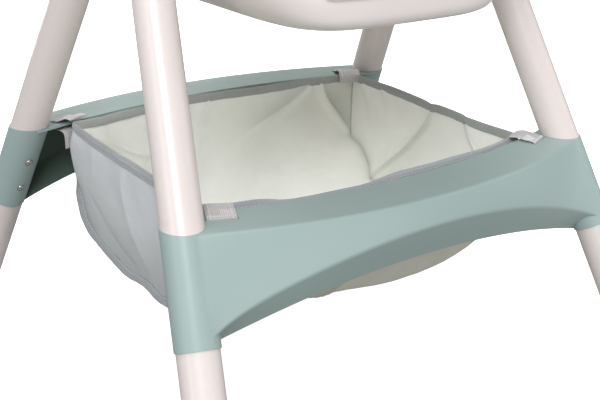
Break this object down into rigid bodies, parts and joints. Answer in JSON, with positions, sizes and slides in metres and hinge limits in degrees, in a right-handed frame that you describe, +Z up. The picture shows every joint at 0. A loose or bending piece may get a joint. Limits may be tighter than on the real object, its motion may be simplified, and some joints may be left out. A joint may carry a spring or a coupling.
{
  "type": "high chair",
  "caption": "Baby high chair with splayed tubular legs, arched crossbars, a hanging fabric storage basket, a tub seat, a harness and a sliding tray.",
  "frame": {"origin": "on the floor under the middle of the chair, halfway between the four feet", "axes": "+Z up, -Y the way the child faces, +X to the right of a person who looks at the chair from the front"},
  "size_m": [0.6612, 0.7232, 0.98],
  "materials": {
    "leg_tube": "glossy cream powder coat",
    "crossbar": "satin sage green moulded plastic",
    "hub_plastic": "satin sage green moulded plastic",
    "foot_boot": "matt grey rubber",
    "steel": "bright zinc plate",
    "strap_webbing": "pale satin ribbon",
    "basket_fabric": "coated woven polyester, pale grey outside and cream inside",
    "basket_tape": "grey woven binding tape",
    "seat_plastic": "satin cream moulded plastic",
    "cushion_leather": "taupe synthetic leather, stitched",
    "harness_webbing": "dark grey woven webbing",
    "buckle_plastic": "charcoal moulded plastic",
    "tray_liner": "sage green moulded plastic"
  },
  "bodies": {
    "root": {"leg_tube_front_left": "leg_tube", "foot_boot_front_left": "foot_boot", "crossbar_screw_front_left_upper": "steel", "crossbar_screw_front_left_lower": "steel", "basket_strap_front_left": "strap_webbing", "leg_tube_front_right": "leg_tube", "foot_boot_front_right": "foot_boot", "crossbar_screw_front_right_upper": "steel", "crossbar_screw_front_right_lower": "steel", "basket_strap_front_right": "strap_webbing", "leg_tube_rear_left": "leg_tube", "foot_boot_rear_left": "foot_boot", "crossbar_screw_rear_left_upper": "steel", "crossbar_screw_rear_left_lower": "steel", "basket_strap_rear_left": "strap_webbing", "leg_tube_rear_right": "leg_tube", "foot_boot_rear_right": "foot_boot", "crossbar_screw_rear_right_upper": "steel", "crossbar_screw_rear_right_lower": "steel", "basket_strap_rear_right": "strap_webbing", "crossbar_front": "crossbar", "crossbar_rear": "crossbar", "basket_body": "basket_fabric", "basket_rim_binding": "basket_tape", "basket_seam_tape_left": "basket_tape", "basket_seam_tape_right": "basket_tape", "leg_hub_left": "hub_plastic", "hub_cap_left": "seat_plastic", "seat_bolt_left": "steel", "seat_nut_left": "steel", "armrest_left": "hub_plastic", "harness_shoulder_left": "harness_webbing", "harness_waist_left": "harness_webbing", "leg_hub_right": "hub_plastic", "hub_cap_right": "seat_plastic", "seat_bolt_right": "steel", "seat_nut_right": "steel", "armrest_right": "hub_plastic", "harness_shoulder_right": "harness_webbing", "harness_waist_right": "harness_webbing", "seat_tub": "seat_plastic", "seat_cushion": "cushion_leather", "harness_crotch": "harness_webbing", "buckle_body": "buckle_plastic"},
    "tray": {"tray_base": "seat_plastic", "tray_runner_left": "seat_plastic", "tray_runner_right": "seat_plastic"},
    "tray_liner": {"tray_insert": "tray_liner"},
    "tray_catch_left": {"tray_button_left": "hub_plastic"},
    "tray_catch_right": {"tray_button_right": "hub_plastic"},
    "buckle_release": {"buckle_button": "hub_plastic"}
  },
  "joints": [
    {"name": "tray_slide", "type": "slide", "parent": "root", "child": "tray", "axis": [0, -1, 0], "range_m": [-0.022, 0.055]},
    {"name": "tray_liner_lift", "type": "slide", "parent": "tray", "child": "tray_liner", "axis": [0, 0, 1], "range_m": [0, 0.06]},
    {"name": "tray_button_left_press", "type": "slide", "parent": "tray", "child": "tray_catch_left", "axis": [1, 0, 0], "range_m": [0, 0.0025], "stiffness_N_per_m": 500, "springref_m": -0.002},
    {"name": "tray_button_right_press", "type": "slide", "parent": "tray", "child": "tray_catch_right", "axis": [-1, 0, 0], "range_m": [0, 0.0025], "stiffness_N_per_m": 500, "springref_m": -0.002},
    {"name": "buckle_button_press", "type": "slide", "parent": "root", "child": "buckle_release", "axis": [0, 0, -1], "range_m": [0, 0.0025], "stiffness_N_per_m": 400, "springref_m": -0.002}
  ]
}
